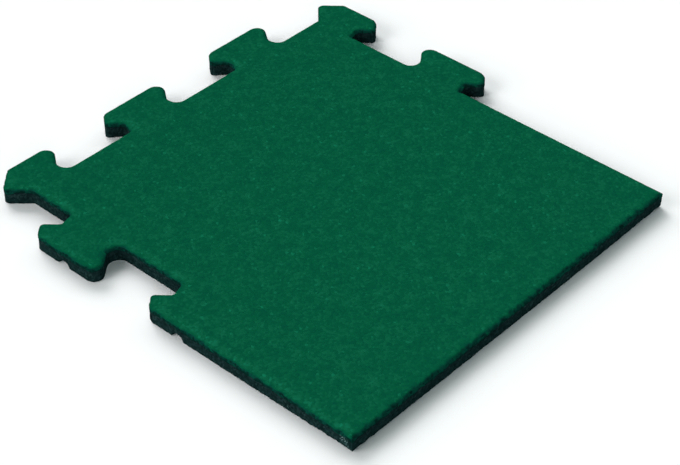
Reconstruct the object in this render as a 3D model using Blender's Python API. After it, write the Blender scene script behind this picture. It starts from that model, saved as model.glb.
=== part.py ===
"""Interlocking rubber border tile: a green wear layer bonded to a black crumb-rubber base.

Metres, +Z up, lying flat. The outline is worked out in the tile's own plan coordinates: x = 0 is the
left side's outer line, y = 0 the straight border edge, and MODULE the base lines of the right and the
back side, past which their tabs reach. The mesh is then placed with its bounding box centred on Z.
"""

import math

import bmesh
import bpy
from mathutils import Matrix

# Driving dimensions, in metres.
MODULE = 0.500
PITCH = MODULE / 3
TAB_DEPTH = 0.0467
THICKNESS = 0.018
WEAR_THICKNESS = 0.0039
BOND_GAP = 0.0003
FIT_CLEARANCE = 0.0010

# Middle of the tabs along each side, and their width half way up the flank.
SIDE_TAB_MID = 0.3172
SIDE_TAB_WIDTH = 0.0829
BACK_TAB_MID = 0.2289
BACK_TAB_WIDTH = 0.0806

# The plain flank: one straight run between a neck fillet and a tip round.
PLAIN_HALF_OFFSET = 0.0174
PLAIN_ROUND = 0.0108
# The barbed flank: a bevelled shoulder, the tip, the neck, and a pocket whose corner is fuller than
# the shoulder that enters it.
BARB_SHOULDER = 0.0040
SHOULDER_ROUND = 0.0123
BARB_TIP = 0.0085
BARB_TIP_DEPTH = 0.0160
BARB_ROUND = 0.0050
NECK_ROUND = 0.0060
POCKET_CORNER = 0.0035
POCKET_ROUND = 0.0045
# The left side's notches reach a little deeper than the tabs that enter them.
NOTCH_DEPTH = 0.0482
# The corner tab, measured from the module's corner.
CORNER_TIP_X = 0.0256
CORNER_TIP_Y = 0.0236
CORNER_SHOULDER_Y = 0.5001 - MODULE
CORNER_ROUND = 0.0070
LEFT_TAB_CHAMFER_X = 0.0531

# Half-round drainage channels across the underside, a little in front of the middle of the left
# side's tabs.
CHANNEL_OFFSET = 0.0028
CHANNEL_YS = (SIDE_TAB_MID - PITCH / 2 - CHANNEL_OFFSET, SIDE_TAB_MID + PITCH / 2 - CHANNEL_OFFSET)
CHANNEL_RADIUS = 0.0078
CHANNEL_DROP = 0.0004

ARC_SEGMENTS = 10

GREEN = (0.010, 0.115, 0.052, 1.0)
BLACK = (0.010, 0.014, 0.014, 1.0)


def plain_flank(mid, sign, depth=TAB_DEPTH):
    """(inward, along, radius) from the outer line to the base line; sign is the way the tip points."""
    half = FIT_CLEARANCE / 2
    lean = 2 * PLAIN_HALF_OFFSET * depth / TAB_DEPTH - PLAIN_HALF_OFFSET
    return [
        (0.0, mid + sign * (PLAIN_HALF_OFFSET - half), PLAIN_ROUND),
        (depth, mid - sign * (lean + half), PLAIN_ROUND + FIT_CLEARANCE),
    ]


def barbed_flank(mid, sign, depth=TAB_DEPTH):
    """(inward, along, radius) from the outer line to the base line; sign is the way the tip points."""
    half = FIT_CLEARANCE / 2
    return [
        (0.0, mid - sign * (BARB_SHOULDER + half), SHOULDER_ROUND),
        (BARB_TIP_DEPTH, mid + sign * (BARB_TIP - half), BARB_ROUND),
        (TAB_DEPTH - BARB_TIP_DEPTH, mid - sign * (BARB_TIP + half), NECK_ROUND),
        (depth, mid - sign * (POCKET_CORNER + half), POCKET_ROUND),
    ]


def on_right(points):
    return [(MODULE + TAB_DEPTH - inward, along, radius) for inward, along, radius in points]


def on_back(points):
    return [(along, MODULE + TAB_DEPTH - inward, radius) for inward, along, radius in points]


def on_left(points):
    return [(inward, along, radius) for inward, along, radius in points]


def corner_points():
    """The outline's corners, anticlockwise from the straight border edge, as (x, y, radius)."""
    side_low = SIDE_TAB_MID - SIDE_TAB_WIDTH / 2
    side_high = SIDE_TAB_MID + SIDE_TAB_WIDTH / 2
    back_low = BACK_TAB_MID - BACK_TAB_WIDTH / 2
    back_high = BACK_TAB_MID + BACK_TAB_WIDTH / 2
    points = [(0.0, 0.0, 0.0), (MODULE, 0.0, 0.0)]
    points += on_right(barbed_flank(side_low, -1)[::-1])
    points += on_right(plain_flank(side_high, 1))
    points += on_right(barbed_flank(side_low + PITCH, -1)[::-1])
    points += [
        (MODULE + TAB_DEPTH, MODULE + CORNER_SHOULDER_Y, CORNER_ROUND),
        (MODULE + CORNER_TIP_X, MODULE + CORNER_TIP_Y, CORNER_ROUND),
        (MODULE, MODULE, 0.0),
    ]
    points += on_back(plain_flank(back_high + PITCH, 1)[::-1])
    points += on_back(barbed_flank(back_low + PITCH, -1))
    points += on_back(plain_flank(back_high, 1)[::-1])
    points += on_back(barbed_flank(back_low, -1))
    points += on_back(plain_flank(back_high - PITCH, 1)[::-1])
    points += [
        (LEFT_TAB_CHAMFER_X, MODULE + TAB_DEPTH, CORNER_ROUND),
        (CORNER_TIP_X, MODULE + CORNER_TIP_Y - FIT_CLEARANCE, CORNER_ROUND),
        (NOTCH_DEPTH, MODULE + CORNER_SHOULDER_Y - FIT_CLEARANCE * 1.4, CORNER_ROUND),
    ]
    points += on_left(barbed_flank(side_low + PITCH, 1, NOTCH_DEPTH)[::-1])
    points += on_left(plain_flank(side_high, -1, NOTCH_DEPTH))
    points += on_left(barbed_flank(side_low, 1, NOTCH_DEPTH)[::-1])
    return points


def rounded(points):
    """The closed outline with each corner replaced by an arc of its radius."""
    outline = []
    count = len(points)
    for index, (x, y, radius) in enumerate(points):
        before = points[index - 1]
        after = points[(index + 1) % count]
        ax, ay = before[0] - x, before[1] - y
        bx, by = after[0] - x, after[1] - y
        la, lb = math.hypot(ax, ay), math.hypot(bx, by)
        ax, ay, bx, by = ax / la, ay / la, bx / lb, by / lb
        half = math.acos(max(-1.0, min(1.0, ax * bx + ay * by))) / 2
        if radius < 1e-5:
            outline.append((x, y))
            continue
        reach = min(radius / math.tan(half), 0.62 * la, 0.62 * lb)
        radius = reach * math.tan(half)
        sx, sy = ax + bx, ay + by
        ls = math.hypot(sx, sy)
        cx = x + sx / ls * radius / math.sin(half)
        cy = y + sy / ls * radius / math.sin(half)
        start = math.atan2(y + ay * reach - cy, x + ax * reach - cx)
        end = math.atan2(y + by * reach - cy, x + bx * reach - cx)
        sweep = (end - start + math.pi) % (2 * math.pi) - math.pi
        for step in range(ARC_SEGMENTS + 1):
            angle = start + sweep * step / ARC_SEGMENTS
            outline.append((cx + radius * math.cos(angle), cy + radius * math.sin(angle)))
    return outline


def material(name, colour, roughness):
    """A Principled material with these values."""
    made = bpy.data.materials.new(name)
    made.use_nodes = True
    shader = made.node_tree.nodes["Principled BSDF"]
    shader.inputs["Base Color"].default_value = colour
    shader.inputs["Roughness"].default_value = roughness
    shader.inputs["Metallic"].default_value = 0.0
    made.diffuse_color = colour
    return made


def slab(name, outline, bottom, top, shift, collection, finish):
    """A flat slab of the outline between two heights."""
    curve = bpy.data.curves.new(name + "_outline", "CURVE")
    curve.dimensions = "2D"
    curve.fill_mode = "BOTH"
    curve.extrude = (top - bottom) / 2
    spline = curve.splines.new("POLY")
    spline.points.add(len(outline) - 1)
    for point, (x, y) in zip(spline.points, outline):
        point.co = (x, y, 0.0, 1.0)
    spline.use_cyclic_u = True
    guide = bpy.data.objects.new(name + "_outline", curve)
    collection.objects.link(guide)
    guide.location = (-shift, -shift, (top + bottom) / 2)
    bpy.context.view_layer.update()
    graph = bpy.context.evaluated_depsgraph_get()
    mesh = bpy.data.meshes.new_from_object(guide.evaluated_get(graph))
    mesh.name = name
    mesh.transform(guide.matrix_world)
    shape = bmesh.new()
    shape.from_mesh(mesh)
    bmesh.ops.remove_doubles(shape, verts=shape.verts, dist=0.00001)
    bmesh.ops.recalc_face_normals(shape, faces=shape.faces)
    shape.to_mesh(mesh)
    shape.free()
    mesh.materials.clear()
    mesh.materials.append(finish)
    solid = bpy.data.objects.new(name, mesh)
    collection.objects.link(solid)
    bpy.data.objects.remove(guide, do_unlink=True)
    return solid


def channel_cutter(name, centre_y, shift, collection):
    """A round bar along X, half sunk into the slab's underside, that leaves an arched channel."""
    shape = bmesh.new()
    bmesh.ops.create_cone(
        shape,
        cap_ends=True,
        segments=32,
        radius1=CHANNEL_RADIUS,
        radius2=CHANNEL_RADIUS,
        depth=MODULE + 0.2,
    )
    bmesh.ops.rotate(shape, verts=shape.verts, matrix=Matrix.Rotation(math.pi / 2, 3, "Y"))
    bmesh.ops.translate(shape, verts=shape.verts, vec=(0.0, centre_y - shift, -CHANNEL_DROP))
    bmesh.ops.recalc_face_normals(shape, faces=shape.faces)
    mesh = bpy.data.meshes.new(name)
    shape.to_mesh(mesh)
    shape.free()
    bar = bpy.data.objects.new(name, mesh)
    bar.hide_render = True
    bar.display_type = "WIRE"
    collection.objects.link(bar)
    return bar


def main():
    for old in list(bpy.data.objects):
        bpy.data.objects.remove(old, do_unlink=True)
    scene = bpy.context.scene
    scene.unit_settings.system = "METRIC"
    scene.unit_settings.scale_length = 1.0
    tile = bpy.data.collections.new("interlocking_rubber_tile")
    scene.collection.children.link(tile)
    cutters = bpy.data.collections.new("cutters")
    scene.collection.children.link(cutters)
    cutters.hide_render = True

    outline = rounded(corner_points())
    shift = (MODULE + TAB_DEPTH) / 2
    base_top = THICKNESS - WEAR_THICKNESS - BOND_GAP
    black = material("black_crumb_rubber", BLACK, 0.95)
    green = material("green_granule_rubber", GREEN, 0.9)
    base = slab("base_layer", outline, 0.0, base_top, shift, tile, black)
    slab("wear_layer", outline, THICKNESS - WEAR_THICKNESS, THICKNESS, shift, tile, green)

    for number, centre_y in enumerate(CHANNEL_YS, start=1):
        bar = channel_cutter(f"channel_bar_{number}", centre_y, shift, cutters)
        cut = base.modifiers.new(f"channel_{number}", "BOOLEAN")
        cut.operation = "DIFFERENCE"
        cut.solver = "EXACT"
        cut.object = bar


main()
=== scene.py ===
"""Looks of an interlocking rubber tile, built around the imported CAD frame.

The tile is pressed in one mould from two charges of rubber granules: a thin
green wear layer over a black base of recycled crumb. Each layer is one piece,
modelled from its CAD node's outline, with the rubbed-off rim, the wandering
colour line and the granular sides that such a pressing has.
"""

import logging
import math
from dataclasses import dataclass
from enum import Enum
from typing import Any

import bmesh
import bpy
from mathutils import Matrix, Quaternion, Vector, kdtree, noise

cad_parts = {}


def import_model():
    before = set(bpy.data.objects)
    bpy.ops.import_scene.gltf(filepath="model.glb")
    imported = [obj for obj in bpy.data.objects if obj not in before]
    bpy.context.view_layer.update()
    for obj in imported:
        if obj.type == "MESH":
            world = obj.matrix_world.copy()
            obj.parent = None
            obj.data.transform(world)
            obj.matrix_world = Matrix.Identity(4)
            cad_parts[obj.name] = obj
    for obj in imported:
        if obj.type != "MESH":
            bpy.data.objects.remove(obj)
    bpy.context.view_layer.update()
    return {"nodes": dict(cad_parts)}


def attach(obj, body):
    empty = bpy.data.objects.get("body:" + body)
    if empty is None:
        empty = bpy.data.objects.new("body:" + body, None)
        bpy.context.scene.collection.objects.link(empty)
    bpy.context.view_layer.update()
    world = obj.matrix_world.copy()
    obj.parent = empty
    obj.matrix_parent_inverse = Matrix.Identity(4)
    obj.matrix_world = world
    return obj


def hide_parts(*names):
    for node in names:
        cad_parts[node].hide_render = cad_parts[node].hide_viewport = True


LOG = logging.getLogger("rubber_tile")
MM = 0.001
COOL_WHITE = "eeffff"  # fill light that comes back off a cool grey wall
# The tone attribute carries the painted shade and highlight of the wear layer's rim and sides, and
# the pale scuff on the base.
TONE = "edge_tone"  # attribute that shifts a finish towards its dark or its light end
SAME_PLACE = 1e-6  # points and levels closer than this are the same
ON_PLANE = 1e-7  # points closer to a cutting plane than this lie on it
FLAT_ANGLE = math.radians(0.5)  # faces that meet flatter than this are one face
LEVEL_NORMAL = 0.99  # a face whose normal rises more than this looks up
UPRIGHT_NORMAL = 0.05  # a face whose normal rises less than this stands upright
SEED_ACROSS, SEED_UP = 0.7, 1.3  # how a seed shifts the grains along Y and Z, next to X
Profile = tuple[tuple[float, float], ...]


class Zone(Enum):
    """How a face is treated; the value is its material index while it is built."""

    HIDDEN = 0  # face that lies against the other layer, left as one flat face
    SKIN = 1  # broad walking face, or the underside
    BORDER = 2  # rubbed rim and the sides, where the granules show most


def linear_colour(hex_code: str) -> tuple[float, float, float, float]:
    """Turns an sRGB hex colour into a linear RGBA one.

    Args:
        hex_code: Six hex digits, such as "0a5a3e".

    Returns:
        The linear red, green, blue and an alpha of 1.
    """
    channels = []
    for start in (0, 2, 4):
        value = int(hex_code[start : start + 2], 16) / 255
        channels.append(value / 12.92 if value <= 0.04045 else ((value + 0.055) / 1.055) ** 2.4)
    return (channels[0], channels[1], channels[2], 1.0)


def add_node(
    material: bpy.types.Material,
    kind: str,
    settings: dict[str, Any] | None = None,
    inputs: dict[Any, Any] | None = None,
) -> bpy.types.Node:
    """Adds a shader node with its settings, values and links.

    Args:
        material: The material whose tree takes the node.
        kind: The node's type name.
        settings: Attributes of the node, by name.
        inputs: By input name or number, a value, or a (node, output) pair to link.

    Returns:
        The new node.
    """
    tree = material.node_tree
    node = tree.nodes.new(kind)
    for name, value in (settings or {}).items():
        setattr(node, name, value)
    for name, value in (inputs or {}).items():
        if isinstance(value, tuple) and len(value) == 2 and isinstance(value[0], bpy.types.Node):
            tree.links.new(value[0].outputs[value[1]], node.inputs[name])
        else:
            node.inputs[name].default_value = value
    return node


def add_ramp(
    material: bpy.types.Material,
    factor: tuple[bpy.types.Node, Any],
    stops: tuple[tuple[float, str], ...],
) -> bpy.types.Node:
    """Adds a colour ramp that runs through the given hex colours.

    Args:
        material: The material whose tree takes the node.
        factor: The (node, output) pair that drives the ramp.
        stops: (position, hex colour) pairs in rising order.

    Returns:
        The ramp node.
    """
    ramp = add_node(material, "ShaderNodeValToRGB", inputs={"Fac": factor})
    elements = ramp.color_ramp.elements
    while len(elements) < len(stops):
        elements.new(1.0)
    for element, (position, colour) in zip(elements, stops):
        element.position = position
        element.color = linear_colour(colour)
    return ramp


@dataclass(frozen=True)
class PressedGranules:
    """Finish of rubber granules bonded with a clear polyurethane binder.

    The binder leaves the granules open at the surface, so the eye gets a dull
    cloth-like colour that varies a little from grain to grain, and almost no
    gloss, since light is trapped between the grains.
    """

    name: str
    stops: tuple[tuple[float, str], ...]
    grain: float
    grain_spread: float
    cloud: float
    cloud_spread: float
    fleck_share: float
    fleck_tone: float
    bump_height: float
    roughness: float
    gloss: float
    index: float = 1.5
    cloud_detail: float = 3.0
    cloud_roughness: float = 0.6
    bump_strength: float = 0.6

    def material(self) -> bpy.types.Material:
        """Builds the procedural material on Object coordinates.

        Returns:
            The finished material.
        """
        made = bpy.data.materials.new(self.name)
        made.use_nodes = True
        made.node_tree.nodes.clear()
        place = (add_node(made, "ShaderNodeTexCoord"), "Object")
        grains = add_node(
            made,
            "ShaderNodeTexVoronoi",
            {"feature": "F1"},
            {"Vector": place, "Scale": 1 / self.grain, "Randomness": 1.0},
        )
        grain_tone = add_node(made, "ShaderNodeSeparateColor", inputs={"Color": (grains, "Color")})
        cloud = add_node(
            made,
            "ShaderNodeTexNoise",
            inputs={
                "Vector": place,
                "Scale": 1 / self.cloud,
                "Detail": self.cloud_detail,
                "Roughness": self.cloud_roughness,
            },
        )
        # Painted shade and highlight on the wear layer's rim and sides, and the pale scuff on the
        # base, come in through this attribute.
        edge = add_node(made, "ShaderNodeAttribute", {"attribute_name": TONE})
        multiply_add = {"operation": "MULTIPLY_ADD"}
        middle = 0.5 - 0.5 * (self.cloud_spread + self.grain_spread)
        tone = add_node(
            made,
            "ShaderNodeMath",
            multiply_add,
            {0: (cloud, "Fac"), 1: self.cloud_spread, 2: middle},
        )
        tone = add_node(
            made,
            "ShaderNodeMath",
            multiply_add,
            {0: (grain_tone, "Red"), 1: self.grain_spread, 2: (tone, "Value")},
        )
        fleck = add_node(
            made,
            "ShaderNodeMath",
            {"operation": "GREATER_THAN"},
            {0: (grain_tone, "Green"), 1: 1.0 - self.fleck_share},
        )
        tone = add_node(
            made,
            "ShaderNodeMath",
            multiply_add,
            {0: (fleck, "Value"), 1: self.fleck_tone, 2: (tone, "Value")},
        )
        tone = add_node(
            made, "ShaderNodeMath", {"operation": "ADD"}, {0: (tone, "Value"), 1: (edge, "Fac")}
        )
        colour = add_ramp(made, (tone, "Value"), self.stops)
        bump = add_node(
            made,
            "ShaderNodeBump",
            {"invert": True},
            {
                "Height": (grains, "Distance"),
                "Strength": self.bump_strength,
                "Distance": self.bump_height,
            },
        )
        shader = add_node(
            made,
            "ShaderNodeBsdfPrincipled",
            inputs={
                "Base Color": (colour, "Color"),
                "Normal": (bump, "Normal"),
                "Roughness": self.roughness,
                "Specular IOR Level": self.gloss,
                "IOR": self.index,
            },
        )
        add_node(made, "ShaderNodeOutputMaterial", inputs={"Surface": (shader, "BSDF")})
        return made


def value_at(profile: Profile, place: float) -> float:
    """Reads a profile, straight between its pairs and level past its ends.

    Args:
        profile: (place, value) pairs in rising order.
        place: Where to read it.

    Returns:
        The value there.
    """
    if place <= profile[0][0]:
        return profile[0][1]
    for (before, low), (after, high) in zip(profile, profile[1:]):
        if place <= after:
            return low + (high - low) * (place - before) / (after - before)
    return profile[-1][1]


@dataclass
class Outline:
    """The tile's plan outline, asked for the edge nearest to a point."""

    tree: kdtree.KDTree
    facings: list[Vector]

    @classmethod
    def around(cls, face: bmesh.types.BMFace, step: float = 0.3 * MM) -> "Outline":
        """Samples the outline of a level face that looks up.

        Args:
            face: The face.
            step: Distance between samples.

        Returns:
            The sampled outline.
        """
        samples = []
        corners = [vertex.co.copy() for vertex in face.verts]
        for start, end in zip(corners, corners[1:] + corners[:1]):
            run = end - start
            facing = Vector((run.y, -run.x, 0.0)).normalized()
            count = max(1, math.ceil(run.length / step))
            samples += [(start + run * (number + 0.5) / count, facing) for number in range(count)]
        tree = kdtree.KDTree(len(samples))
        for number, (point, _) in enumerate(samples):
            tree.insert((point.x, point.y, 0.0), number)
        tree.balance()
        return cls(tree, [facing for _, facing in samples])

    def nearest(self, point: Vector) -> tuple[float, Vector]:
        """Gives how far in from the outline a point lies, and which way that edge faces."""
        _, number, distance = self.tree.find((point.x, point.y, 0.0))
        return distance, self.facings[number]


@dataclass(frozen=True)
class RimWearAndPaintedLight:
    """How the wear layer's top edge is rubbed down and chipped, with painted shade and highlight
    in its tone.

    The profiles run over the distance in from the outline, and the outline they
    start from wanders in and out where granules have broken away. The edges that
    face the front are rubbed much rounder than the others.
    """

    crisp: Profile = (
        (-1.2 * MM, 1.9 * MM),
        (-0.5 * MM, 0.9 * MM),
        (0.0, 0.2 * MM),
        (0.7 * MM, 0.07 * MM),
        (1.8 * MM, 0.0),
    )
    worn: Profile = (
        (0.0, 2.5 * MM),
        (0.7 * MM, 1.95 * MM),
        (1.5 * MM, 1.35 * MM),
        (2.8 * MM, 0.6 * MM),
        (4.0 * MM, 0.2 * MM),
        (6.0 * MM, 0.0),
    )
    # Painted light along left-facing edges: painted shade at the lip, then a painted highlight
    # from about 3 to 14 mm in.
    left_painted_light: Profile = (
        (-1.2 * MM, -0.45),
        (-0.3 * MM, -0.42),
        (0.4 * MM, -0.26),
        (1.2 * MM, -0.12),
        (2.4 * MM, -0.01),
        (4.0 * MM, 0.08),
        (6.0 * MM, 0.11),
        (9.0 * MM, 0.08),
        (14.0 * MM, 0.0),
    )
    # Painted shade along front-facing edges, darkest at the outline and gone 9 mm in.
    front_painted_shade: Profile = (
        (0.0, -0.4),
        (1.9 * MM, -0.34),
        (3.2 * MM, -0.18),
        (4.5 * MM, -0.06),
        (6.5 * MM, -0.02),
        (9.0 * MM, 0.0),
    )
    # Painted shade down the sides, read over the height share from foot (0) to top (1).
    side_painted_shade: Profile = ((0.0, -0.42), (0.5, -0.37), (0.8, -0.33), (1.0, 0.0))
    wander: float = 1.8 * MM
    wander_length: float = 7.5 * MM
    wander_gain: float = 1.6
    wander_limit: float = 0.8
    wander_level: float = 0.3  # height at which the noise field is read
    fine_share: float = 0.15
    fine_scale: float = 1.7
    sheltered_share: float = 0.08  # share of the wander on edges that face right or back
    darkest: float = -0.45  # lowest shift of tone

    def broken_edge(self, point: Vector, inward: float, facing: Vector) -> float:
        """Gives a point's distance in from the outline that the broken granules have left.

        Args:
            point: The place in the tile's frame.
            inward: Its distance in from the moulded outline.
            facing: The way the nearest edge faces.

        Returns:
            The distance in metres, which may be below zero.
        """
        open_edge = max(self.sheltered_share, -facing.y, -facing.x)
        place = Vector((point.x, point.y, self.wander_level)) / self.wander_length
        break_in = noise.noise(place) + self.fine_share * noise.noise(self.fine_scale * place)
        limited = max(-self.wander_limit, min(self.wander_limit, self.wander_gain * break_in))
        return inward - self.wander * open_edge * limited

    def drop(self, inward: float, facing: Vector) -> float:
        """Gives how far the top has been rubbed down at a distance in from the outline."""
        front = max(0.0, -facing.y)
        return (1.0 - front) * value_at(self.crisp, inward) + front * value_at(self.worn, inward)

    def tone(self, share: float, inward: float, facing: Vector) -> float:
        """Gives the shift of tone: painted highlight along the left with painted shade at its lip,
        painted shade at the front and down the sides.

        Args:
            share: 1 on the top, falling to 0 at the foot of the side.
            inward: Distance in from the outline.
            facing: The way the nearest edge faces.

        Returns:
            The shift, as a share of the finish's ramp.
        """
        tone = value_at(self.side_painted_shade, share)
        tone += max(0.0, -facing.x) * value_at(self.left_painted_light, inward)
        tone += max(0.0, -facing.y) * value_at(self.front_painted_shade, inward)
        return max(self.darkest, tone)


@dataclass(frozen=True)
class Relief:
    """Depth to which the surface sinks between granules, always inwards."""

    grain: float
    grain_depth: float
    lump: float
    lump_depth: float
    seed: float
    cup: float = 1.4  # how soon a grain falls off to the full depth around it

    def dent(self, point: Vector) -> float:
        """Gives the depth of the surface below the full outline at a point.

        Args:
            point: The place in the tile's frame.

        Returns:
            The depth in metres, never negative.
        """
        shift = Vector((self.seed, SEED_ACROSS * self.seed, SEED_UP * self.seed))
        shifted = point + shift
        nearest = noise.voronoi(shifted / self.grain)[0][0]
        between = min(1.0, self.cup * nearest * nearest)
        lump = max(0.0, min(1.0, 0.5 - 0.5 * noise.noise(shifted / self.lump)))
        return self.grain_depth * between + self.lump_depth * lump


@dataclass(frozen=True)
class ColourLine:
    """The wandering line where the green charge meets the black one on the sides."""

    height: float = 13.95 * MM
    half_gap: float = 0.03 * MM
    wander: float = 2.2 * MM
    wave: float = 10.0 * MM
    quick_share: float = 0.35
    most: float = 1.8 * MM
    level: float = 0.05  # height at which the noise field is read

    def offset(self, point: Vector) -> float:
        """Gives how far the line lies above its mean height.

        Args:
            point: A point of the outline.

        Returns:
            The height in metres, below zero where the line dips.
        """
        flat = Vector((point.x, point.y, self.level))
        slow = noise.noise(flat / self.wave)
        quick = noise.noise(flat / (self.quick_share * self.wave))
        return max(-self.most, min(self.most, self.wander * (slow + self.quick_share * quick)))


def merged_copy(node: bpy.types.Object) -> bmesh.types.BMesh:
    """Copies a CAD node's loose triangles and joins them into clean flat faces.

    Args:
        node: The CAD node.

    Returns:
        The mesh with its doubles merged and its coplanar triangles dissolved.
    """
    mesh = bmesh.new()
    mesh.from_mesh(node.data)
    mesh.verts.layers.float.new(TONE)
    bmesh.ops.remove_doubles(mesh, verts=mesh.verts, dist=SAME_PLACE)
    bmesh.ops.dissolve_limit(mesh, angle_limit=FLAT_ANGLE, verts=mesh.verts, edges=mesh.edges)
    return mesh


def highest_face(mesh: bmesh.types.BMesh) -> bmesh.types.BMFace:
    """Gives the broad face on top of a layer."""
    upward = [face for face in mesh.faces if face.normal.z > LEVEL_NORMAL]
    return max(upward, key=lambda face: face.calc_area())


def upright_faces(mesh: bmesh.types.BMesh) -> list[bmesh.types.BMFace]:
    """Gives the faces that stand upright, as the sides do."""
    return [face for face in mesh.faces if abs(face.normal.z) < UPRIGHT_NORMAL]


def inset(
    mesh: bmesh.types.BMesh, face: bmesh.types.BMFace, width: float
) -> list[bmesh.types.BMFace]:
    """Insets a face and marks the ring around it as border.

    Args:
        mesh: The mesh that owns the face.
        face: The face, which stays as the inner one.
        width: Width of the ring.

    Returns:
        The faces of the ring.
    """
    ring = bmesh.ops.inset_region(
        mesh, faces=[face], thickness=width, use_even_offset=True, use_boundary=True
    )["faces"]
    for part in ring:
        part.material_index = Zone.BORDER.value
    return ring


def cut_across(
    mesh: bmesh.types.BMesh,
    faces: list[bmesh.types.BMFace],
    axis: int,
    pitch: float,
    skin_every: int,
) -> None:
    """Cuts faces by parallel upright planes, so that granule relief has points to move.

    Args:
        mesh: The mesh that owns the faces.
        faces: The faces to cut.
        axis: 0 for planes across X, 1 for planes across Y.
        pitch: Distance between planes on the border.
        skin_every: The broad faces are cut by one plane in this many.
    """
    normal = Vector((1.0, 0.0, 0.0)) if axis == 0 else Vector((0.0, 1.0, 0.0))
    waiting = sorted(faces, key=lambda face: min(v.co[axis] for v in face.verts), reverse=True)
    high = max(v.co[axis] for v in mesh.verts)
    low = min(v.co[axis] for v in mesh.verts)
    active: list[bmesh.types.BMFace] = []
    for number in range(math.ceil(low / pitch), math.floor(high / pitch) + 1):
        level = number * pitch
        while waiting and min(v.co[axis] for v in waiting[-1].verts) < level:
            active.append(waiting.pop())
        beyond = level + SAME_PLACE
        active = [face for face in active if max(v.co[axis] for v in face.verts) > beyond]
        whole = number % skin_every == 0
        crossed = [face for face in active if whole or face.material_index == Zone.BORDER.value]
        kept = [face for face in active if not (whole or face.material_index == Zone.BORDER.value)]
        if not crossed:
            continue
        parts: set[Any] = set(crossed)
        for face in crossed:
            parts.update(face.edges)
            parts.update(face.verts)
        result = bmesh.ops.bisect_plane(
            mesh, geom=list(parts), dist=ON_PLANE, plane_co=normal * level, plane_no=normal
        )
        cut = [part for part in result["geom"] if isinstance(part, bmesh.types.BMFace)]
        active = kept + [face for face in cut if face.calc_center_median()[axis] > level]


def cut_level(mesh: bmesh.types.BMesh, faces: list[bmesh.types.BMFace], height: float) -> None:
    """Cuts upright faces by one level plane.

    Args:
        mesh: The mesh that owns the faces.
        faces: The faces to cut.
        height: Height of the plane.
    """
    parts: set[Any] = set(faces)
    for face in faces:
        parts.update(face.edges)
        parts.update(face.verts)
    bmesh.ops.bisect_plane(
        mesh,
        geom=list(parts),
        dist=ON_PLANE,
        plane_co=(0.0, 0.0, height),
        plane_no=(0.0, 0.0, 1.0),
    )


@dataclass
class TileLayer:
    """What both layers of the tile share: granular sides and the colour line."""

    finish: PressedGranules
    relief: Relief
    colour_line: ColourLine
    border_pitch: float
    skin_every: int
    skin_share: float
    lip: float = 3.0 * MM

    def cut_up(self, mesh: bmesh.types.BMesh) -> None:
        """Cuts the shown faces across both ways.

        Args:
            mesh: The layer, closed and with its rows on the sides.
        """
        for axis in (0, 1):
            shown = [face for face in mesh.faces if face.material_index != Zone.HIDDEN.value]
            cut_across(mesh, shown, axis, self.border_pitch, self.skin_every)

    def sink_between_granules(self, mesh: bmesh.types.BMesh) -> None:
        """Moves every shown point inwards along its normal by the granule relief.

        Args:
            mesh: The layer, cut finely enough to show the grains.
        """
        mesh.normal_update()
        moves = []
        for vertex in mesh.verts:
            sideways = 1.0 - vertex.normal.z**2
            share = self.skin_share + (1.0 - self.skin_share) * sideways
            moves.append(vertex.normal * (share * self.relief.dent(vertex.co)))
        for vertex, move in zip(mesh.verts, moves):
            if any(face.material_index != Zone.HIDDEN.value for face in vertex.link_faces):
                vertex.co -= move

    def bend_sides(
        self,
        line: set[bmesh.types.BMVert],
        height: float,
        sides: list[bmesh.types.BMVert],
        shares: list[float],
    ) -> None:
        """Bends the sides' rows of points along with the wandering colour line.

        Args:
            line: The points on the colour line.
            height: The line's mean height in this layer.
            sides: The other points of the sides.
            shares: How much of the line's wander each of them follows, 0 to 1.
        """
        for vertex in line:
            vertex.co.z = height + self.colour_line.offset(vertex.co)
        for vertex, share in zip(sides, shares):
            vertex.co.z += share * self.colour_line.offset(vertex.co)

    def finished(self, mesh: bmesh.types.BMesh, name: str) -> bpy.types.Object:
        """Turns the mesh into a dressed object at the origin.

        Args:
            mesh: The layer's mesh; it is freed here.
            name: The piece's name.

        Returns:
            The new object, linked to the scene.
        """
        for face in mesh.faces:
            face.smooth = face.material_index != Zone.HIDDEN.value
            face.material_index = 0
        bmesh.ops.recalc_face_normals(mesh, faces=mesh.faces)
        data = bpy.data.meshes.new(name)
        mesh.to_mesh(data)
        mesh.free()
        data.materials.append(self.finish.material())
        made = bpy.data.objects.new(name, data)
        bpy.context.scene.collection.objects.link(made)
        LOG.info("%s: %d faces", name, len(data.polygons))
        return made


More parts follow.
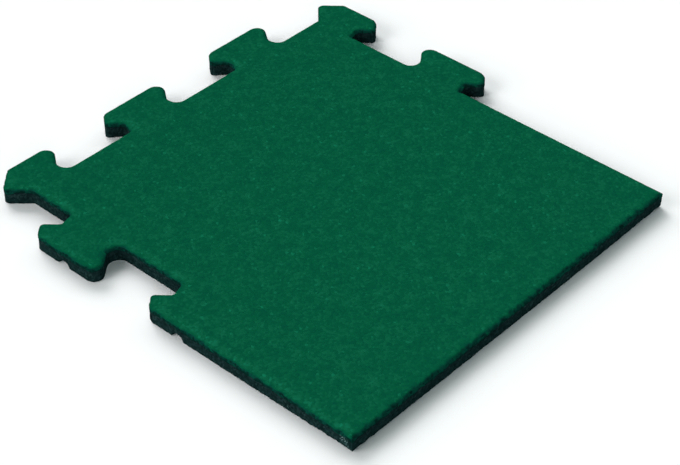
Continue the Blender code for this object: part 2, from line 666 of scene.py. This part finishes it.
@dataclass
class WearLayer(TileLayer):
    """The green walking layer with its rubbed rim."""

    rim: RimWearAndPaintedLight = RimWearAndPaintedLight()
    rings: tuple[float, ...] = (0.7 * MM, 1.5 * MM, 2.6 * MM, 4.2 * MM)
    # Width in from the outline within which the rim is rubbed down and shade and highlight are
    # painted.
    rub_and_paint_width: float = 18.0 * MM
    side_rows: int = 3
    side_reach: float = 0.2 * MM  # points this close to the outline belong to the sides
    lip_share: float = -0.01  # points below this share of the side lie on the lip

    def build(self, node: bpy.types.Object) -> bpy.types.Object:
        """Models the layer from its CAD node's outline.

        Args:
            node: The CAD node of the wear layer.

        Returns:
            The finished piece.
        """
        mesh = merged_copy(node)
        top = highest_face(mesh)
        outline = Outline.around(top)
        height = top.verts[0].co.z
        floor = min(v.co.z for v in mesh.verts)
        seam = self.colour_line.height + self.colour_line.half_gap
        others = [face for face in mesh.faces if face is not top]
        bmesh.ops.delete(mesh, geom=others, context="FACES")
        for outer, inner in zip((0.0, *self.rings), self.rings):
            inset(mesh, top, inner - outer)
        top.material_index = Zone.SKIN.value
        foot = self.pull_sides(mesh, height, seam)
        self.close_below(mesh, foot, floor)
        self.cut_up(mesh)
        line = {v for v in mesh.verts if abs(v.co.z - seam) < SAME_PLACE}
        sides = [
            v for v in mesh.verts if v not in line and outline.nearest(v.co)[0] < self.side_reach
        ]
        shares = [(height - v.co.z) / (height - seam) for v in sides]
        self.rub_down_and_paint_light(mesh, outline, height, seam)
        self.sink_between_granules(mesh)
        self.bend_sides(line, seam, sides, shares)
        return self.finished(mesh, "wear_layer_granules")

    def pull_sides(
        self, mesh: bmesh.types.BMesh, height: float, seam: float
    ) -> list[bmesh.types.BMEdge]:
        """Pulls the sides down from the rim, row by row.

        Args:
            mesh: The walking face with its rings.
            height: Height of the walking face.
            seam: Height of the foot of the sides.

        Returns:
            The open edges along the foot.
        """
        edges = [edge for edge in mesh.edges if edge.is_boundary]
        for row in range(1, self.side_rows + 1):
            grown = bmesh.ops.extrude_edge_only(mesh, edges=edges)["geom"]
            for part in grown:
                if isinstance(part, bmesh.types.BMVert):
                    part.co.z = height + (seam - height) * row / self.side_rows
                elif isinstance(part, bmesh.types.BMFace):
                    part.material_index = Zone.BORDER.value
            edges = [
                part for part in grown if isinstance(part, bmesh.types.BMEdge) and part.is_boundary
            ]
        return edges

    def close_below(
        self, mesh: bmesh.types.BMesh, edges: list[bmesh.types.BMEdge], floor: float
    ) -> None:
        """Closes the layer with a lip and one flat hidden face.

        Args:
            mesh: The layer, open below.
            edges: The open edges along the foot of the sides.
            floor: Height of the hidden face.
        """
        under = bmesh.ops.edgeloop_fill(mesh, edges=edges)["faces"][0]
        under.material_index = Zone.HIDDEN.value
        inset(mesh, under, self.lip)
        for vertex in under.verts:
            vertex.co.z = floor
        bmesh.ops.recalc_face_normals(mesh, faces=mesh.faces)

    def rub_down_and_paint_light(
        self, mesh: bmesh.types.BMesh, outline: Outline, height: float, seam: float
    ) -> None:
        """Rubs the rim down and writes its painted shade and highlight.

        Args:
            mesh: The layer with its finished cuts.
            outline: The tile's outline.
            height: Height of the walking face.
            seam: Height of the foot of the side.
        """
        tone = mesh.verts.layers.float[TONE]
        for vertex in mesh.verts:
            share = (vertex.co.z - seam) / (height - seam)
            if share < self.lip_share:
                continue
            inward, facing = outline.nearest(vertex.co)
            if inward > self.rub_and_paint_width:
                continue
            inward = self.rim.broken_edge(vertex.co, inward, facing)
            # Paints shade and highlight into the tone attribute.
            vertex[tone] = self.rim.tone(share, inward, facing)
            vertex.co.z -= max(0.0, share) * self.rim.drop(inward, facing)


@dataclass
class BaseLayer(TileLayer):
    """The black crumb base with its drainage channels and its crumbled lower edge."""

    side_rows: int = 9
    foot_height: float = 6.5 * MM
    foot_length: float = 5.0 * MM
    foot_unevenness: float = 0.45
    outer_strip: float = 10.0 * MM
    left_foot: Profile = ((0.0, 2.7 * MM), (0.1, 1.4 * MM), (0.2, 0.8 * MM), (0.4, 0.7 * MM))
    front_foot: Profile = (
        (0.0, 2.1 * MM),
        (0.12, 0.9 * MM),
        (0.3, 0.4 * MM),
        (0.4, 0.9 * MM),
        (0.5, 2.5 * MM),
    )
    other_foot: float = 0.3 * MM
    foot_level: float = 0.7  # height at which the noise field is read
    scuff_start: float = 5.0 * MM
    scuff_end: float = 17.0 * MM
    scuff_reach: float = 0.5 * MM
    scuff_height: float = 9.0 * MM
    scuff_grain: float = 1.5 * MM
    scuff_tone: float = 1.6
    scuff_level: float = 0.2  # third coordinate at which the noise field is read

    def build(self, node: bpy.types.Object) -> bpy.types.Object:
        """Models the layer from a merged copy of its CAD node.

        Args:
            node: The CAD node of the base layer.

        Returns:
            The finished piece.
        """
        mesh = merged_copy(node)
        top = highest_face(mesh)
        seat = top.verts[0].co.z
        line_height = self.colour_line.height - self.colour_line.half_gap
        for face in mesh.faces:
            face.material_index = Zone.SKIN.value
        for face in upright_faces(mesh):
            face.material_index = Zone.BORDER.value
        top.material_index = Zone.HIDDEN.value
        for face in inset(mesh, top, self.lip):
            for vertex in face.verts:
                vertex.co.z = line_height
        for vertex in top.verts:
            vertex.co.z = seat
        for row in range(1, self.side_rows):
            cut_level(mesh, upright_faces(mesh), line_height * row / self.side_rows)
        self.cut_up(mesh)
        line = {v for v in mesh.verts if abs(v.co.z - line_height) < SAME_PLACE}
        sides = list({v for face in upright_faces(mesh) for v in face.verts} - line)
        shares = [(v.co.z / line_height) ** 2 for v in sides]
        self.crumble_foot(mesh)
        self.scuff_corner(mesh)
        self.sink_between_granules(mesh)
        self.bend_sides(line, line_height, sides, shares)
        return self.finished(mesh, "base_layer_crumb")

    def scuff_corner(self, mesh: bmesh.types.BMesh) -> None:
        """Pales the scuffed crumb on the left side, just behind the front corner.

        Args:
            mesh: The layer with its finished cuts.
        """
        tone = mesh.verts.layers.float[TONE]
        left = min(vertex.co.x for vertex in mesh.verts)
        front = min(vertex.co.y for vertex in mesh.verts)
        for vertex in mesh.verts:
            along = vertex.co.y - front
            in_patch = self.scuff_start < along < self.scuff_end
            if vertex.co.x - left > self.scuff_reach or not in_patch:
                continue
            place = Vector((vertex.co.y, vertex.co.z, self.scuff_level)) / self.scuff_grain
            fade = min(1.0, vertex.co.z / self.scuff_height)
            vertex[tone] = max(0.0, self.scuff_tone * noise.noise(place)) * fade

    def crumble_foot(self, mesh: bmesh.types.BMesh) -> None:
        """Wears the lower edge of the sides away unevenly, most near the front corners.

        Args:
            mesh: The layer with its finished cuts.
        """
        mesh.normal_update()
        left = min(vertex.co.x for vertex in mesh.verts)
        front = min(vertex.co.y for vertex in mesh.verts)
        for vertex in mesh.verts:
            sides = [f.normal for f in vertex.link_faces if abs(f.normal.z) < UPRIGHT_NORMAL]
            if not sides or vertex.co.z > self.foot_height:
                continue
            lift = self.other_foot
            if vertex.co.x - left < self.outer_strip:
                on_left = max(0.0, -sides[0].x) * value_at(self.left_foot, vertex.co.y - front)
                lift = max(lift, on_left)
            if vertex.co.y - front < self.outer_strip:
                on_front = max(0.0, -sides[0].y) * value_at(self.front_foot, vertex.co.x - left)
                lift = max(lift, on_front)
            place = Vector((vertex.co.x, vertex.co.y, self.foot_level)) / self.foot_length
            lift *= max(0.0, 1.0 + self.foot_unevenness * noise.noise(place))
            vertex.co.z += lift * (1.0 - vertex.co.z / self.foot_height)


@dataclass(frozen=True)
class PaleFloor:
    """Matt white paper sweep, which the eye takes as plain white ground."""

    half_size: float = 12.0
    colour: str = "f4f4f4"

    def build(self) -> bpy.types.Object:
        """Lays the floor at height zero.

        Returns:
            The floor object.
        """
        mesh = bmesh.new()
        bmesh.ops.create_grid(mesh, x_segments=1, y_segments=1, size=self.half_size)
        data = bpy.data.meshes.new("studio_floor")
        mesh.to_mesh(data)
        mesh.free()
        paper = bpy.data.materials.new("matt_white_paper")
        paper.use_nodes = True
        paper.node_tree.nodes.clear()
        shader = add_node(
            paper,
            "ShaderNodeBsdfPrincipled",
            inputs={
                "Base Color": linear_colour(self.colour),
                "Roughness": 1.0,
                "Specular IOR Level": 0.0,
            },
        )
        add_node(paper, "ShaderNodeOutputMaterial", inputs={"Surface": (shader, "BSDF")})
        data.materials.append(paper)
        made = bpy.data.objects.new("studio_floor", data)
        bpy.context.scene.collection.objects.link(made)
        return made


@dataclass(frozen=True)
class SoftLight:
    """One broad studio light, far enough away to be even over the tile."""

    name: str
    azimuth: float
    elevation: float
    floor_share: float
    spread: float = 40.0
    distance: float = 3.0
    colour: str = "ffffff"

    def build(self) -> bpy.types.Object:
        """Hangs the light so that it gives its share of the floor's white.

        Returns:
            The light object.
        """
        azimuth, elevation = math.radians(self.azimuth), math.radians(self.elevation)
        data = bpy.data.lights.new(self.name, "SUN")
        floor_white = linear_colour(PaleFloor.colour)[0]
        data.energy = math.pi * self.floor_share / (math.sin(elevation) * floor_white)
        data.angle = math.radians(self.spread)
        data.color = linear_colour(self.colour)[:3]
        made = bpy.data.objects.new(self.name, data)
        towards = Vector(
            (
                math.cos(azimuth) * math.cos(elevation),
                math.sin(azimuth) * math.cos(elevation),
                math.sin(elevation),
            )
        )
        made.location = towards * self.distance
        made.rotation_mode = "QUATERNION"
        made.rotation_quaternion = towards.to_track_quat("Z", "Y")
        bpy.context.scene.collection.objects.link(made)
        return made


@dataclass(frozen=True)
class Studio:
    """Floor, even light and the camera at the photograph's viewing angle."""

    sky: float = 0.13
    lights: tuple[SoftLight, ...] = (
        SoftLight("back_softbox", azimuth=75.0, elevation=30.0, floor_share=0.37),
        SoftLight("back_right_softbox", azimuth=45.0, elevation=36.0, floor_share=0.165),
        SoftLight("back_left_softbox", azimuth=148.0, elevation=26.0, floor_share=0.15),
        SoftLight("left_softbox", azimuth=165.0, elevation=24.0, floor_share=0.115),
        SoftLight(
            "left_fill",
            azimuth=232.0,
            elevation=18.0,
            floor_share=0.08,
            spread=30.0,
            colour=COOL_WHITE,
        ),
        SoftLight(
            "right_fill",
            azimuth=0.0,
            elevation=26.0,
            floor_share=0.06,
            spread=30.0,
            colour=COOL_WHITE,
        ),
    )
    camera_place: tuple[float, float, float] = (-1.216795, -1.089832, 1.275947)
    camera_heading: float = 41.5035
    camera_dip: float = 39.0701
    camera_roll: float = 0.6816
    lens: float = 101.544
    sensor: float = 36.0

    def build(self) -> None:
        """Sets up floor, world, lights and camera."""
        PaleFloor().build()
        world = bpy.data.worlds.new("even_white_room")
        world.use_nodes = True
        background = world.node_tree.nodes["Background"]
        background.inputs["Color"].default_value = linear_colour(COOL_WHITE)
        background.inputs["Strength"].default_value = self.sky
        bpy.context.scene.world = world
        for light in self.lights:
            light.build()
        bpy.context.scene.camera = self.camera()
        bpy.context.scene.view_settings.view_transform = "Standard"

    def camera(self) -> bpy.types.Object:
        """Places the camera.

        Returns:
            The camera object.
        """
        data = bpy.data.cameras.new("viewpoint")
        data.lens = self.lens
        data.sensor_width = self.sensor
        data.clip_start = 0.05
        data.clip_end = 60.0
        made = bpy.data.objects.new("viewpoint", data)
        heading, dip = math.radians(self.camera_heading), math.radians(self.camera_dip)
        forward = Vector(
            (math.cos(heading) * math.cos(dip), math.sin(heading) * math.cos(dip), -math.sin(dip))
        )
        made.location = Vector(self.camera_place)
        made.rotation_mode = "QUATERNION"
        level = forward.to_track_quat("-Z", "Y")
        roll = Quaternion((0.0, 0.0, 1.0), math.radians(self.camera_roll))
        made.rotation_quaternion = level @ roll
        bpy.context.scene.collection.objects.link(made)
        return made


# Ethylene-propylene granules, coloured right through: the eye gets a deep, even
# green with a slight fleck from grain to grain. Real grains are 0.5 to 1.5 mm;
# they are drawn at 2.8 mm, since finer ones would not show at this distance.
GREEN_GRANULES = PressedGranules(
    name="green_pressed_rubber_granules",
    stops=(
        (0.0, "06231e"),
        (0.15, "083a31"),
        (0.35, "044833"),
        (0.5, "054f35"),
        (0.65, "0d593e"),
        (1.0, "0e7c5a"),
    ),
    grain=2.8 * MM,
    grain_spread=0.21,
    cloud=15.0 * MM,
    cloud_spread=0.36,
    fleck_share=0.04,
    fleck_tone=0.12,
    bump_height=0.2 * MM,
    roughness=0.95,
    gloss=0.0,
)

# Ground tyre rubber: the eye gets a dead black with a few grey flecks where a
# broken grain turns to the light. The grains are drawn at 2.2 mm, near the coarse
# end of such crumb, since finer ones would not show at this distance.
BLACK_CRUMB = PressedGranules(
    name="black_pressed_tyre_crumb",
    stops=((0.0, "050e0e"), (0.3, "0b1a1a"), (0.55, "142727"), (0.8, "263c3b"), (1.0, "5a7271")),
    grain=2.2 * MM,
    grain_spread=0.34,
    cloud=7.0 * MM,
    cloud_spread=0.3,
    fleck_share=0.006,
    fleck_tone=0.16,
    bump_height=0.6 * MM,
    roughness=0.95,
    gloss=0.0,
)

WEAR_RELIEF = Relief(
    grain=3.0 * MM, grain_depth=0.2 * MM, lump=6.0 * MM, lump_depth=0.2 * MM, seed=0.31
)
BASE_RELIEF = Relief(
    grain=2.6 * MM, grain_depth=0.6 * MM, lump=6.0 * MM, lump_depth=0.5 * MM, seed=0.57
)


@dataclass
class RubberTile:
    """The whole tile: the two pressed layers around the CAD frame."""

    nodes: dict[str, bpy.types.Object]

    def build(self) -> None:
        """Builds both layers and ties them to the frame."""
        line = ColourLine()
        wear = WearLayer(
            finish=GREEN_GRANULES,
            relief=WEAR_RELIEF,
            colour_line=line,
            border_pitch=1.2 * MM,
            skin_every=2,
            skin_share=0.22,
        ).build(self.nodes["wear_layer"])
        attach(wear, "root")
        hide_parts("wear_layer")
        base = BaseLayer(
            finish=BLACK_CRUMB,
            relief=BASE_RELIEF,
            colour_line=line,
            border_pitch=1.2 * MM,
            skin_every=3,
            skin_share=0.25,
        ).build(self.nodes["base_layer"])
        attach(base, "root")
        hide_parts("base_layer")


def main() -> None:
    """Builds the tile and its studio."""
    logging.basicConfig(level=logging.INFO, format="%(message)s")
    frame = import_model()
    RubberTile(frame["nodes"]).build()
    Studio().build()


if __name__ == "__main__":
    main()
